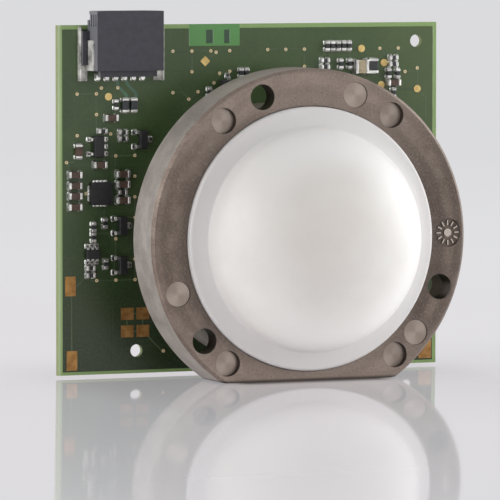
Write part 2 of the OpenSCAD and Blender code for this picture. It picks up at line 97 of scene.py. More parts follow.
BOARD = Extent.of("circuit_board")
RING = Extent.of("antenna_ring")
LENS = Extent.of("lens")


def rgb(red: int, green: int, blue: int) -> Colour:
    """Turn a display colour into the linear colour that shaders use.

    Args:
        red: Red from 0 to 255.
        green: Green from 0 to 255.
        blue: Blue from 0 to 255.

    Returns:
        The linear colour with an alpha of 1.
    """
    def linear(level: int) -> float:
        """Linear value of one channel."""
        share = level / 255
        return share / 12.92 if share <= 0.04045 else ((share + 0.055) / 1.055) ** 2.4

    return (linear(red), linear(green), linear(blue), 1.0)


# ---- Shader graphs ----


class Num:
    """A shader number: Python arithmetic on it adds the Math nodes of the expression."""

    def __init__(self, graph: "Nodes", socket: bpy.types.NodeSocket) -> None:
        """Wrap an output socket of a graph."""
        self.graph = graph
        self.socket = socket

    def _math(self, operation: str, *values: "Operand") -> "Num":
        """Add one Math node.

        Args:
            operation: The Math node's operation.
            values: Its operands in order.

        Returns:
            The result as a number.
        """
        node = self.graph.add("ShaderNodeMath", {"operation": operation}, dict(enumerate(values)))
        return Num(self.graph, node.outputs[0])

    def __add__(self, other: "Operand") -> "Num":
        """Sum of the two."""
        return self._math("ADD", self, other)

    __radd__ = __add__

    def __sub__(self, other: "Operand") -> "Num":
        """This less the other."""
        return self._math("SUBTRACT", self, other)

    def __rsub__(self, other: "Operand") -> "Num":
        """The other less this."""
        return self._math("SUBTRACT", other, self)

    def __mul__(self, other: "Operand") -> "Num":
        """Product of the two."""
        return self._math("MULTIPLY", self, other)

    __rmul__ = __mul__

    def __truediv__(self, other: "Operand") -> "Num":
        """This over the other."""
        return self._math("DIVIDE", self, other)

    def __abs__(self) -> "Num":
        """Size without its sign."""
        return self._math("ABSOLUTE", self)

    def least(self, other: "Operand") -> "Num":
        """Smaller of the two."""
        return self._math("MINIMUM", self, other)

    def most(self, other: "Operand") -> "Num":
        """Larger of the two."""
        return self._math("MAXIMUM", self, other)

    def sine(self) -> "Num":
        """Sine of the value in radians."""
        return self._math("SINE", self)

    def root(self) -> "Num":
        """Square root."""
        return self._math("SQRT", self)

    def hypot(self, other: "Num") -> "Num":
        """Length of the line whose two legs these are."""
        return (self * self + other * other).root()

    def step(self, low: float, high: float) -> "Num":
        """Rise smoothly from 0 at low to 1 at high.

        Args:
            low: Value where the result is 0.
            high: Value where the result is 1.

        Returns:
            A number from 0 to 1.
        """
        node = self.graph.add(
            "ShaderNodeMapRange",
            {"interpolation_type": "SMOOTHSTEP"},
            {"Value": self, "From Min": low, "From Max": high},
        )
        return Num(self.graph, node.outputs[0])


Operand = Num | float | int


class Nodes:
    """A node tree under construction."""

    def __init__(self, tree: bpy.types.NodeTree) -> None:
        """Start with the tree emptied."""
        self.tree = tree
        tree.nodes.clear()

    def add(
        self, kind: str, settings: dict | None = None, inputs: dict | None = None,
    ) -> bpy.types.Node:
        """Add any node: its settings come first, then the values or links of its sockets.

        Args:
            kind: The node's type name.
            settings: Attributes to set.
            inputs: Values, numbers or sockets by socket name or index.

        Returns:
            The new node.
        """
        node = self.tree.nodes.new(kind)
        for key, value in (settings or {}).items():
            setattr(node, key, value)
        for key, value in (inputs or {}).items():
            if isinstance(value, Num):
                value = value.socket
            if isinstance(value, bpy.types.NodeSocket):
                self.tree.links.new(value, node.inputs[key])
            else:
                node.inputs[key].default_value = value
        return node

    def parts(self, vector: bpy.types.NodeSocket) -> tuple[Num, Num, Num]:
        """Components of a vector socket."""
        axes = self.add("ShaderNodeSeparateXYZ", inputs={0: vector})
        return tuple(Num(self, axes.outputs[i]) for i in range(3))

    def seen(self) -> Num:
        """Tell the rays that show a thing itself: straight, in a mirror or through glass.

        Returns:
            1 for such a ray, 0 for others.
        """
        path = self.add("ShaderNodeLightPath").outputs
        camera, glossy = Num(self, path["Is Camera Ray"]), Num(self, path["Is Glossy Ray"])
        return camera.most(glossy).most(Num(self, path["Is Transmission Ray"]))


class Graph(Nodes):
    """A material under construction, ending in one Principled shader."""

    def __init__(self, name: str) -> None:
        """Start an empty material of the given name.

        Args:
            name: Name of the finish.
        """
        self.material = bpy.data.materials.new(name + "_finish")
        self.material.use_nodes = True
        super().__init__(self.material.node_tree)

    def place(self) -> tuple[Num, Num, Num]:
        """Object coordinates in millimetres, as three numbers."""
        spot = self.add("ShaderNodeTexCoord").outputs["Object"]
        return tuple(part * PER_METRE for part in self.parts(spot))

    def facing(self) -> tuple[Num, Num, Num]:
        """Components of the surface's true normal."""
        return self.parts(self.add("ShaderNodeNewGeometry").outputs["True Normal"])

    def noise(self, size: float, detail: float = 3, stretch: Point = (1, 1, 1)) -> Num:
        """Cloudy noise with features of a given size.

        Args:
            size: Size of the largest features in millimetres.
            detail: Octaves of finer detail.
            stretch: Factors along the axes.

        Returns:
            A number around 0.5.
        """
        spot = self.add("ShaderNodeTexCoord").outputs["Object"]
        scale = [PER_METRE / size * factor for factor in stretch]
        mapped = self.add("ShaderNodeMapping", inputs={0: spot, "Scale": scale})
        node = self.add("ShaderNodeTexNoise", inputs={
            "Vector": mapped.outputs[0], "Scale": 1.0, "Detail": detail, "Roughness": 0.55,
        })
        return Num(self, node.outputs[0])

    def mix(self, share: Operand, first: object, second: object) -> bpy.types.NodeSocket:
        """Blend two colours.

        Args:
            share: 0 gives the first colour, 1 the second.
            first: A colour or a colour socket.
            second: A colour or a colour socket.

        Returns:
            The blended colour's socket.
        """
        node = self.add("ShaderNodeMix", {"data_type": "RGBA"}, {0: share, 6: first, 7: second})
        return node.outputs[2]

    def coats(self, base: object, *coats: tuple[Operand, Colour]) -> bpy.types.NodeSocket:
        """Lay colours over a base, one after another.

        Args:
            base: A colour or a colour socket.
            coats: Share and colour of each coat.

        Returns:
            The blended colour's socket.
        """
        for share, colour in coats:
            base = self.mix(share, base, colour)
        return base

    def bump(self, *reliefs: tuple[Num, float]) -> bpy.types.NodeSocket:
        """Relief that adds up heights of 0 to 1.

        Args:
            reliefs: Each relief's height, and its millimetres between 0 and 1.

        Returns:
            The normal's socket.
        """
        below = {}
        for height, depth in reliefs:
            node = self.add("ShaderNodeBump", inputs={
                "Height": height, "Distance": depth * MM, "Strength": 1.0, **below,
            })
            below = {"Normal": node.outputs[0]}
        return below["Normal"]

    def close(self, inputs: dict) -> bpy.types.Material:
        """Finish the material with one Principled shader.

        Args:
            inputs: Values or links of the shader's sockets.

        Returns:
            The finished material.
        """
        shader = self.add("ShaderNodeBsdfPrincipled", inputs=inputs)
        self.add("ShaderNodeOutputMaterial", inputs={"Surface": shader.outputs[0]})
        return self.material


# ---- Finishes ----


@dataclass(frozen=True)
class Finish:
    """Base of every finish: a name, and the material that it builds once."""

    name: str

    def build(self) -> bpy.types.Material:
        """Build the material."""
        raise NotImplementedError

    def material(self) -> bpy.types.Material:
        """Return the finish's material, building it on first use."""
        return bpy.data.materials.get(self.name + "_finish") or self.build()


@dataclass(frozen=True)
class BoardMask(Finish):
    """Green solder mask over copper, with bare laminate in the margins and at the edges; painted
    light and shade on the mask, and a painted highlight along the left edge.
    """

    board: Extent = BOARD
    margins: tuple[float, float, float, float] = (0.62, 0.5, 0.42, 0.55)
    window: tuple[float, float, float] = (18.7, 26.0, 2.9)
    bars: tuple[Place, ...] = ((21.65, 0.5), (24.15, 0.4))
    bar_ends: Place = (0.75, 2.55)
    blur: float = 0.05
    weave_turns: float = 9.0
    ply_turns: float = 15.0

    def build(self) -> bpy.types.Material:
        """Mix the covered copper, the pour's gaps, the clear margins and the cut edges, with
        painted light and shade.

        Returns:
            The material.
        """
        g = Graph(self.name)
        x, y, z = g.place()
        flat = abs(g.facing()[1]).step(0.6, 0.8)
        inward = x - self.board.left
        window, opened = self._window(x, z)
        covered = self._covered(x, z) * (1 - opened)
        clouds = g.noise(9.0)
        grain = g.noise(0.35, 4)
        gaps = self._pour_gaps(x, z) * 0.14
        mask = g.coats(
            g.mix(clouds.step(0.3, 0.7), rgb(52, 73, 44), rgb(65, 87, 50)),
            (gaps, rgb(92, 112, 70)),
            # painted light: the mask lighter towards the right and the top
            (x.step(8, 26) * z.step(12, 40) * 0.4, rgb(112, 126, 88)),
            # painted shade: the mask darker towards the bottom
            ((1 - z.step(2, 28)) * 0.7, rgb(26, 37, 22)),
            # painted light: the mask lighter at the top
            (z.step(26, 44) * 0.25, rgb(96, 118, 74)),
            (window * 0.7, rgb(44, 78, 68)),
            (grain.step(0.35, 0.75) * 0.2, rgb(100, 112, 74)),
        )
        weave = ((x * self.weave_turns).sine() * (z * self.weave_turns).sine()).step(-0.7, 0.9)
        bare = g.coats(
            g.mix(weave * 0.2 + clouds * 0.2, rgb(146, 176, 112), rgb(166, 194, 130)),
            # painted highlight: the bare laminate paler along the left edge
            (1 - inward.step(0.3, 1.0), rgb(160, 190, 126)),
            (1 - inward.step(0.1, 0.6), rgb(206, 226, 178)),
            (opened * 0.85, rgb(88, 154, 86)),
        )
        plies = (y * self.ply_turns + clouds * 3).sine().step(-0.4, 0.8)
        cut = g.mix(plies * 0.6, rgb(140, 152, 104), rgb(178, 184, 140))
        return g.close({
            "Base Color": g.mix(flat, cut, g.mix(covered, bare, mask)),
            "Roughness": (grain * 0.16 + 0.26) + (1 - flat) * 0.3,
            "Normal": g.bump((covered * (1 - gaps), 0.03), (g.noise(0.22), 0.006)),
            "IOR": 1.42,
        })

    def _covered(self, x: Num, z: Num) -> Num:
        """Find where the mask lies over copper.

        Args:
            x: Place across the board.
            z: Height on the board.

        Returns:
            1 over copper, 0 in the margins.
        """
        left, right, bottom, top = self.margins
        inside = (x - (self.board.left + left)).least((self.board.right - right) - x)
        inside = inside.least(z - (self.board.bottom + bottom)).least((self.board.top - top) - z)
        return inside.step(-self.blur, self.blur)

    def _window(self, x: Num, z: Num) -> tuple[Num, Num]:
        """Window of clear mask at the top edge, whole and without its two dark bars.

        Args:
            x: Place across the board.
            z: Height on the board.

        Returns:
            Shares of the whole window and of its open part.
        """
        start, end, depth = self.window
        left, top = self.board.left, self.board.top
        window = (x - (left + start)).least((left + end) - x).least(z - (top - depth))
        clear = z - (top - self.bar_ends[0])
        clear = clear.most((top - self.bar_ends[1]) - z)
        first, second = (abs(x - (left + middle)) - half for middle, half in self.bars)
        opened = window.least(clear.most(first.least(second)))
        return window.step(-self.blur, self.blur), opened.step(-self.blur, self.blur)

    def _pour_gaps(self, x: Num, z: Num) -> Num:
        """Thin gaps between copper areas, straight and at 45 degrees.

        Args:
            x: Place across the board.
            z: Height on the board.

        Returns:
            1 in a gap, 0 on copper.
        """
        spans = ((x, 5.3, 1.1), (z, 6.1, 2.3), (x + z, 14.9, 4.0), (x - z, 17.3, 9.5))
        gap: Operand = 0.0
        for along, pitch, start in spans:
            wave = abs(((along + start) * (math.pi / pitch)).sine())
            gap = (1 - wave.step(0.02, 0.06)).most(gap)
        return gap


@dataclass(frozen=True)
class TraceMask(Finish):
    """Solder mask over a copper track: a little lighter than the mask beside it."""

    light: Colour = rgb(84, 101, 70)
    dark: Colour = rgb(66, 82, 56)

    def build(self) -> bpy.types.Material:
        """Mix the track's tone with faint clouds.

        Returns:
            The material.
        """
        g = Graph(self.name)
        return g.close({
            "Base Color": g.mix(g.noise(3.0).step(0.3, 0.7), self.dark, self.light),
            "Roughness": g.noise(0.4) * 0.15 + 0.26,
            "Normal": g.bump((g.noise(0.22), 0.005)),
        })


@dataclass(frozen=True)
class CastMetal(Finish):
    """Brown-grey die cast metal with a mottled skin and lighter, turned pin faces, with painted
    light and shade.
    """

    marks: tuple[Point, ...] = ()
    wheel: Point = (0.0, 0.0, 0.0)
    front_y: float = RING.front
    axis_z: float = LENS.axis_z
    groove_turns: float = 30.0

    def build(self) -> bpy.types.Material:
        """Mix the front's skin, the walls, the pin faces and the ticks of the date wheel, with
        painted shade round the sunk marks and along the foot.

        Returns:
            The material.
        """
        g = Graph(self.name)
        x, y, z = g.place()
        front = (0 - g.facing()[1]).step(0.35, 0.65)
        mottle, fine = g.noise(2.6, 5), g.noise(0.3, 4)
        disc, rings, pit_shade = self._pins(x, z)
        disc = disc * front
        away = self._from(x, z, self.wheel)
        raised = 1 - (y - self.front_y).step(0.04, 0.12)
        radius = self.wheel[2]
        ticks = (1 - away.step(radius - 0.15, radius - 0.02)) * raised * front
        colour = g.coats(
            g.mix(front, self._wall(g, mottle, fine), self._skin(g, mottle, fine)),
            # painted shade on the walls of the sunk marks
            (pit_shade * (1 - front), rgb(62, 52, 46)),
            (disc * 0.8, rgb(143, 130, 120)),
            # turning grooves and a painted sheen on the pin faces
            (disc * rings * 0.45, rgb(190, 177, 166)),
            (ticks * 0.8, rgb(214, 202, 192)),
            # painted shade along the foot, where the ring meets the table
            ((1 - z.step(0.05, 0.5)) * 0.85, rgb(40, 32, 28)),
        )
        return g.close({
            "Base Color": colour,
            "Roughness": mottle * 0.18 + 0.36 - disc * 0.1,
            "Metallic": front * 0.25 + 0.35,
            "Normal": g.bump((mottle, 0.05), (fine, 0.018), (rings * disc, 0.006)),
        })

    def _skin(self, g: Graph, mottle: Num, fine: Num) -> bpy.types.NodeSocket:
        """Tone of the front: mottled, streaked, painted shade by the lens and on the right, painted
        light top and bottom.

        Args:
            g: The graph to add to.
            mottle: Noise of the casting's skin.
            fine: Noise of its grain.

        Returns:
            The colour's socket.
        """
        x, _, z = g.place()
        flow = g.noise(7.0, 3, (1, 1, 0.4))
        reach = x.hypot(z - self.axis_z)
        streaks = (reach * 2.4 + flow * 9.0 + x * 0.12).sine().step(-0.6, 1.0)
        return g.coats(
            g.mix(mottle.step(0.3, 0.7), rgb(106, 92, 84), rgb(134, 120, 110)),
            (flow.step(0.45, 0.75) * 0.35, rgb(146, 133, 122)),
            (streaks * 0.5, rgb(91, 79, 71)),
            # painted shade beside the lens
            ((1 - reach.step(17.8, 20.2)) * 0.35, rgb(62, 53, 47)),
            # painted shade towards the right
            (x.step(4, 20) * 0.35, rgb(73, 63, 57)),
            # painted light at the top and the bottom
            ((z.step(24, 42) + (1 - z.step(1, 9))) * 0.4, rgb(162, 147, 136)),
            (fine.step(0.5, 0.75) * 0.35, rgb(162, 149, 139)),
            (fine.step(0.48, 0.25) * 0.5, rgb(80, 69, 62)),
        )

    def _wall(self, g: Graph, mottle: Num, fine: Num) -> bpy.types.NodeSocket:
        """Tone of the walls: painted light on those facing left, painted shade inside the holes of
        the front.

        Args:
            g: The graph to add to.
            mottle: Noise of the casting's skin.
            fine: Noise of its grain.

        Returns:
            The colour's socket.
        """
        x, y, z = g.place()
        normal_x, _, normal_z = g.facing()
        # painted light: walls facing left take the lit tone, the others a shaded tone
        pale = (0 - normal_x).step(-0.1, 0.5) * (1 - normal_z.step(0.6, 1.0) * 0.5)
        # painted shade inside the holes and the throat of the front
        skirt = x.hypot(z - self.axis_z).step(21.2, 21.7)
        hole_shade = (1 - skirt) * (1 - (y - self.front_y).step(3.3, 3.7))
        lit = g.coats(
            g.mix(mottle.step(0.3, 0.7), rgb(166, 157, 151), rgb(190, 181, 174)),
            (fine.step(0.5, 0.75) * 0.4, rgb(214, 207, 200)),
        )
        return g.mix(hole_shade, g.mix(pale, rgb(124, 112, 104), lit), rgb(66, 57, 51))

    def _from(self, x: Num, z: Num, mark: Point) -> Num:
        """Distance from a mark's centre."""
        return (x - mark[0]).hypot(z - mark[1])

    def _pins(self, x: Num, z: Num) -> tuple[Num, Num, Num]:
        """Find the pin faces on the front wall.

        Args:
            x: Place across the ring.
            z: Height on the ring.

        Returns:
            Shares of the pin faces, their grooves and painted sheen, and the painted shade round
            them.
        """
        disc = rings = pit_shade = x * 0
        for mark in self.marks:
            away, radius = self._from(x, z, mark), mark[2]
            here = 1 - away.step(radius - 0.12, radius - 0.02)
            # painted sheen: each pin face lighter in two opposite sectors
            sheen_sector = (x - mark[0]) * (z - mark[1]) / (away * away + 0.05)
            grooves_and_sheen = ((away * self.groove_turns).sine() * 0.25 + sheen_sector).step(-0.7, 0.7)
            disc = disc.most(here)
            rings = rings.most(here * grooves_and_sheen)
            pit_shade = pit_shade.most(1 - away.step(radius + 0.05, radius + 0.25))
        return disc, rings, pit_shade


@dataclass(frozen=True)
class LensPolymer(Finish):
    """Satin white fluoropolymer with a faint waxy clouding, a painted highlight on the dome and
    painted shade in its middle and on the rim.
    """

    axis_z: float = LENS.axis_z
    dome_r: float = 14.8
    dome_shade: Place = (-2.7, 2.0)
    line_turns: float = 26.0

    def build(self) -> bpy.types.Material:
        """Mix the white, its clouding, a painted highlight, painted shade and fine turning lines.

        Returns:
            The material.
        """
        g = Graph(self.name)
        x, _, z = g.place()
        up = z - self.axis_z
        away = x.hypot(up)
        # painted shade: a darker patch near the middle of the dome
        dome_shade = 1 - (x - self.dome_shade[0]).hypot(up - self.dome_shade[1]).step(1.0, 12.0)
        clouds = g.noise(6.0, 4)
        colour = g.coats(
            g.mix(clouds.step(0.3, 0.75), rgb(238, 235, 231), rgb(243, 241, 237)),
            # painted highlight: the outer dome lighter, except at the left
            (away.step(7.5, 13.0) * x.step(-14, -2), rgb(253, 251, 249)),
            (dome_shade * 0.35, rgb(222, 211, 203)),
            (g.noise(0.5).step(0.6, 0.85) * 0.15, rgb(214, 209, 202)),
            # painted shade: the rim darker than the dome
            (away.step(self.dome_r - 0.5, self.dome_r + 0.4) * 0.7, rgb(219, 216, 216)),
        )
        lines = (away * self.line_turns).sine().step(-1, 1)
        return g.close({
            "Base Color": colour,
            "Roughness": clouds * 0.14 + 0.3,
            "Normal": g.bump((lines, 0.0012), (g.noise(1.2), 0.012)),
            "IOR": 1.36,
            "Subsurface Weight": 0.12,
            "Subsurface Radius": (1.0, 0.9, 0.8),
            "Subsurface Scale": 0.0012,
        })


@dataclass(frozen=True)
class BrightMetal(Finish):
    """Solder, tin, gold or steel: a metal with a slightly uneven, oxidised skin."""

    light: Colour = rgb(214, 213, 209)
    dark: Colour = rgb(150, 149, 147)
    rough: float = 0.24
    lumps: float = 0.02
    size: float = 0.5
    metallic: float = 1.0

    def build(self) -> bpy.types.Material:
        """Mix the bright and dull tones over a faintly lumpy relief.

        Returns:
            The material.
        """
        g = Graph(self.name)
        clouds = g.noise(self.size * 2, 4)
        fine = g.noise(self.size * 0.3)
        return g.close({
            "Base Color": g.mix(clouds.step(0.3, 0.7), self.dark, self.light),
            "Roughness": fine * 0.2 + self.rough,
            "Metallic": self.metallic,
            "Normal": g.bump((clouds, self.lumps), (fine, self.lumps * 0.3)),
        })


@dataclass(frozen=True)
class Moulded(Finish):
    """Moulded plastic, ceramic or foam: a tone with clouds, specks, a fine grain and painted light
    on faces facing left.
    """

    light: Colour
    dark: Colour
    speck: Colour
    specks: float = 0.3
    rough: float = 0.45
    grain: float = 0.08
    depth: float = 0.006
    lit_flank: float = 0.0

    def build(self) -> bpy.types.Material:
        """Mix the clouds and specks over the grain, and paint light on the faces that face left.

        Returns:
            The material.
        """
        g = Graph(self.name)
        clouds = g.noise(self.grain * 9, 4)
        fine = g.noise(self.grain)
        colour = g.coats(
            g.mix(clouds.step(0.3, 0.7), self.dark, self.light),
            (fine.step(0.58, 0.78) * self.specks, self.speck),
            # painted light: faces that face left are lighter
            ((0 - g.facing()[0]).step(0.5, 0.9) * self.lit_flank, self.speck),
        )
        return g.close({
            "Base Color": colour,
            "Roughness": clouds * 0.16 + (self.rough - 0.08),
            "Normal": g.bump((fine, self.depth)),
        })


@dataclass(frozen=True)
class StudioSweep(Finish):
    """Pale, faintly glossy table that runs up into the backdrop."""

    tone: Colour = rgb(228, 228, 230)
    table: Colour = rgb(216, 216, 219)
    contact_shadow: Colour = rgb(42, 36, 33)
    black: Colour = (0, 0, 0, 1)
    glow: float = 0.84
    rise: float = 0.11
    own: float = 0.8
    shine: float = 0.30
    far_shine: float = 0.18
    front_y: float = RING.front

    def build(self) -> bpy.types.Material:
        """Mix the lit table, its own paleness towards the viewer, painted shadows near the object
        and a soft mirror.

        Returns:
            The material.
        """
        g = Graph(self.name)
        seen = g.seen()
        x, y, z = g.place()
        flat = 1 - z.step(0.5, 300)
        shade = (1 - abs(x + 2.5).step(22, 36)) * y.step(-80, 5) * (1 - y.step(12, 40))
        # painted shadow: a dark strip on the table at the foot of the ring
        line = (1 - abs(x).step(9, 12)) * (1 - (self.front_y - y).step(0, 5)) * (1 - y.step(3, 6))
        tone = g.coats(
            g.mix(1 - y.step(5, 60), self.tone, self.table),
            (g.noise(240.0, 2).step(0.2, 0.8) * 0.3, rgb(226, 226, 228)),
            (shade * 0.35, rgb(178, 169, 172)),
            (line * 0.85, self.contact_shadow),
        )
        base = g.coats(
            # the painted contact shadow darkens the lit part too
            rgb(236, 236, 238), (line * 0.85, self.contact_shadow), (seen * self.own, self.black),
        )
        lit = g.add("ShaderNodeBsdfPrincipled", inputs={
            "Base Color": base, "Roughness": 0.6, "Specular IOR Level": 0.0,
            "Emission Color": g.mix(seen * ((1 - flat) * self.rise + self.glow), self.black, tone),
            "Emission Strength": 1.0,
        })
        mirror = g.add("ShaderNodeBsdfAnisotropic", inputs={
            "Color": (1.0, 0.955, 0.965, 1), "Roughness": 0.06,
        })
        fade = y.step(-240, 10) * self.shine + self.far_shine
        fade = fade * (1 - x.hypot(y).step(130, 260)) * (1 - x.step(-5, 25) * 0.3)
        mixed = g.add("ShaderNodeMixShader", inputs={
            0: flat * fade, 1: lit.outputs[0], 2: mirror.outputs[0],
        })
        g.add("ShaderNodeOutputMaterial", inputs={"Surface": mixed.outputs[0]})
        return g.material


class Finishes(Enum):
    """The finishes of the module."""

    BOARD = BoardMask("board_laminate")
    TRACK = TraceMask("masked_track")
    LINK = TraceMask("masked_link", rgb(92, 132, 104), rgb(70, 108, 86))
    GOLD = BrightMetal(
        "gold_plate", rgb(178, 135, 77), rgb(139, 98, 52), 0.36, 0.006, metallic=0.6,
    )
    LAND = BrightMetal(
        "gold_land", rgb(236, 208, 140), rgb(206, 174, 106), 0.36, 0.006, 0.4, 0.45,
    )
    VIA = BrightMetal(
        "plated_via", rgb(252, 234, 194), rgb(236, 210, 160), 0.36, 0.004, 0.3, 0.1,
    )
    LENS = LensPolymer("lens_ptfe")
    STEEL = BrightMetal(
        "screw_steel", rgb(186, 184, 178), rgb(128, 126, 122), 0.28, 0.004, 0.6,
    )
    TIN = BrightMetal(
        "tinned_metal", rgb(232, 231, 227), rgb(172, 171, 168), 0.22, metallic=0.9,
    )
    SOLDER = BrightMetal(
        "solder_fillet", rgb(236, 236, 233), rgb(178, 178, 176), 0.18, 0.03, 0.35, 0.9,
    )
    CLIP = BrightMetal(
        "clip_metal", rgb(246, 244, 238), rgb(132, 130, 126), 0.3, 0.006, 0.8, 0.25,
    )
    FOAM = Moulded(
        "absorber_foam", rgb(46, 46, 48), rgb(28, 28, 30), rgb(70, 70, 72),
        specks=0.5, rough=0.85, grain=0.25, depth=0.06,
    )
    PACKAGE = Moulded(
        "package_black", rgb(38, 38, 40), rgb(26, 26, 28), rgb(72, 72, 74), rough=0.5, grain=0.06,
    )
    PLASTIC = Moulded(
        "connector_plastic", rgb(58, 57, 66), rgb(48, 47, 55), rgb(122, 122, 128),
        specks=0.2, rough=0.42, grain=0.1, depth=0.012, lit_flank=0.9,
    )
    BROWN = Moulded("brown_ceramic", rgb(100, 78, 66), rgb(72, 54, 46), rgb(128, 106, 92))
    GREY = Moulded("grey_ceramic", rgb(68, 72, 76), rgb(48, 52, 56), rgb(98, 100, 104))
    DARK = Moulded(
        "dark_ceramic", rgb(52, 54, 56), rgb(36, 38, 40), rgb(82, 84, 86),
        rough=0.36, grain=0.06, depth=0.005,
    )
    CREAM = Moulded(
        "cream_ceramic", rgb(206, 190, 158), rgb(176, 160, 130), rgb(222, 210, 184), grain=0.1,
    )
    SWEEP = StudioSweep("studio_sweep")


# ---- Mesh and geometry tools ----


def object_of(name: str, mesh: bpy.types.Mesh) -> bpy.types.Object:
    """Put a mesh in the scene as an object at the origin.

    Args:
        name: Name of the object.
        mesh: Its mesh.

    Returns:
        The new object.
    """
    mesh.name = name
    made = bpy.data.objects.new(name, mesh)
    bpy.context.scene.collection.objects.link(made)
    return made


def plain(made: bpy.types.Object) -> bpy.types.Object:
    """Turn an object's evaluated shape into its own plain mesh and drop its modifiers.

    Args:
        made: The object with modifiers.

    Returns:
        The same object, with no modifier left.
    """
    depsgraph = bpy.context.evaluated_depsgraph_get()
    mesh = bpy.data.meshes.new_from_object(made.evaluated_get(depsgraph))
    made.modifiers.clear()
    made.data = mesh
    mesh.name = made.name
    return made


def soften(mesh: bpy.types.Mesh, angle: float = 32.0) -> None:
    """Shade a mesh smooth, with edges sharper than an angle kept crisp.

    Args:
        mesh: The mesh.
        angle: Degrees between faces above which an edge stays sharp.
    """
    mesh.shade_smooth()
    mesh.set_sharp_from_angle(angle=math.radians(angle))


def finish_piece(made: bpy.types.Object, finish: Finish, *nodes: str) -> bpy.types.Object:
    """Dress a piece, ride it on the body and hide the nodes that it replaces.

    Args:
        made: The piece.
        finish: Its finish.
        nodes: CAD nodes that it stands for.

    Returns:
        The piece.
    """
    if not made.data.materials:
        made.data.materials.append(finish.material())
    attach(made, ROOT)
    if nodes:
        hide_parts(*nodes)
    LOG.info("%s: %d faces", made.name, len(made.data.polygons))
    return made


class GeometryTree(Nodes):
    """A Geometry Nodes tree under construction, with named sizes."""

    def __init__(self, name: str, sizes: dict[str, float]) -> None:
        """Start a tree with a geometry input and one float input for each size.

        Args:
            name: Name of the tree.
            sizes: Value of each named input.
        """
        super().__init__(bpy.data.node_groups.new(name, "GeometryNodeTree"))
        face = self.tree.interface
        face.new_socket("Geometry", in_out="INPUT", socket_type="NodeSocketGeometry")
        face.new_socket("Geometry", in_out="OUTPUT", socket_type="NodeSocketGeometry")
        self.sizes = {
            face.new_socket(size, in_out="INPUT", socket_type="NodeSocketFloat").identifier: value
            for size, value in sizes.items()
        }
        self.start = self.add("NodeGroupInput").outputs

    def apply(
        self, made: bpy.types.Object, shape: bpy.types.NodeSocket, finish: Finish,
    ) -> bpy.types.Object:
        """Close the tree on a shape, run it on an object and keep the plain result.

        Args:
            made: The object that carries the input mesh.
            shape: Output socket of the last node.
            finish: Finish that Set Material gives.

        Returns:
            The object with its plain mesh.
        """
        real = self.add("GeometryNodeRealizeInstances", inputs={0: shape})
        dressed = self.add("GeometryNodeSetMaterial", inputs={
            "Geometry": real.outputs[0], "Material": finish.material(),
        })
        self.add("NodeGroupOutput", inputs={0: dressed.outputs[0]})
        modifier = made.modifiers.new(self.tree.name, "NODES")
        modifier.node_group = self.tree
        for key, value in self.sizes.items():
            modifier[key] = value
        return plain(made)


class CadCopy:
    """A merged copy of a CAD node, whose edges can be rounded as the real piece's are."""

    def __init__(self, node: str) -> None:
        """Copy and merge the node's mesh.

        Args:
            node: Name of the CAD node.
        """
        self.node = node
        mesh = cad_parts[node].data.copy()
        mesh.materials.clear()
        work = bmesh.new()
        work.from_mesh(mesh)
        bmesh.ops.remove_doubles(work, verts=work.verts, dist=MERGE)
        bmesh.ops.dissolve_limit(
            work, angle_limit=math.radians(1.0), verts=work.verts, edges=work.edges,
            use_dissolve_boundaries=False,
        )
        work.to_mesh(mesh)
        work.free()
        self.mesh = mesh

    def rounded(self, width: float, segments: int = 2, angle: float = 35.0) -> bpy.types.Object:
        """Round the edges that are sharper than an angle.

        Args:
            width: Width of the rounding in millimetres.
            segments: Faces across the rounding.
            angle: Smallest angle in degrees that is rounded.

        Returns:
            The rounded piece.
        """
        soften(self.mesh, angle)
        made = object_of(self.node + "_finished", self.mesh)
        bevel = made.modifiers.new("rounding", "BEVEL")
        bevel.width = width * MM
        bevel.segments = segments
        bevel.limit_method = "ANGLE"
        bevel.angle_limit = math.radians(angle)
        bevel.use_clamp_overlap = True
        bevel.harden_normals = True
        weighted = made.modifiers.new("flat_faces", "WEIGHTED_NORMAL")
        weighted.weight = 100
        return plain(made)


@dataclass
class Island:
    """One loose shell of a node: its lowest and highest corners in millimetres."""

    low: Vector
    high: Vector

    @property
    def centre(self) -> Vector:
        """Middle of the shell's box."""
        return (self.low + self.high) / 2

    @property
    def size(self) -> Vector:
        """Size of the shell's box."""
        return self.high - self.low


def islands(node: str) -> list[Island]:
    """Split a node's mesh into its loose shells.

    Args:
        node: Name of the CAD node.

    Returns:
        One island for each shell, in a fixed order.
    """
    work = bmesh.new()
    work.from_mesh(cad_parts[node].data)
    bmesh.ops.remove_doubles(work, verts=work.verts, dist=MERGE)
    found: list[Island] = []
    seen: set[int] = set()
    work.verts.ensure_lookup_table()
    for start in work.verts:
        if start.index in seen:
            continue
        seen.add(start.index)
        stack, spots = [start], []
        while stack:
            vert = stack.pop()
            spots.append(vert.co * PER_METRE)
            for edge in vert.link_edges:
                other = edge.other_vert(vert)
                if other.index not in seen:
                    seen.add(other.index)
                    stack.append(other)
        low = Vector([min(s[i] for s in spots) for i in range(3)])
        high = Vector([max(s[i] for s in spots) for i in range(3)])
        found.append(Island(low, high))
    work.free()
    return sorted(found, key=lambda shell: (round(shell.centre.x, 3), round(shell.centre.z, 3)))


# ---- The module's sub-assemblies ----


